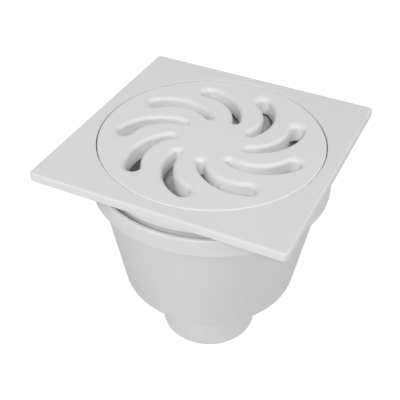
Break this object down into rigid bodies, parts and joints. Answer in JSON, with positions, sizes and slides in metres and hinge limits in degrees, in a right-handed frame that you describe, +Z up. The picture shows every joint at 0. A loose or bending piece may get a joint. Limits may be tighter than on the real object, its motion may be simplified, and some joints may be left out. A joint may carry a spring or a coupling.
{
  "type": "floor gully trap",
  "caption": "Moulded PVC floor gully trap with a square floor plate, a round lift-out grate with curved slots, a tapered bowl with a bell water seal and a bottom outlet.",
  "frame": {"origin": "centre of the outlet's lower end face, which the trap stands on", "axes": "+Z up along the outlet to the plate's top, +X and +Y along the plate's sides"},
  "size_m": [0.12, 0.12, 0.1165],
  "materials": {
    "plate_pvc": "fine matte moulded PVC, off-white",
    "grate_pvc": "smooth satin moulded PVC, off-white",
    "bowl_pvc": "smooth satin moulded PVC, off-white",
    "bell_pvc": "smooth satin moulded PVC, off-white"
  },
  "bodies": {
    "root": {"floor_plate": "plate_pvc", "grate": "grate_pvc", "trap_body": "bowl_pvc", "bell": "bell_pvc"}
  },
  "joints": []
}
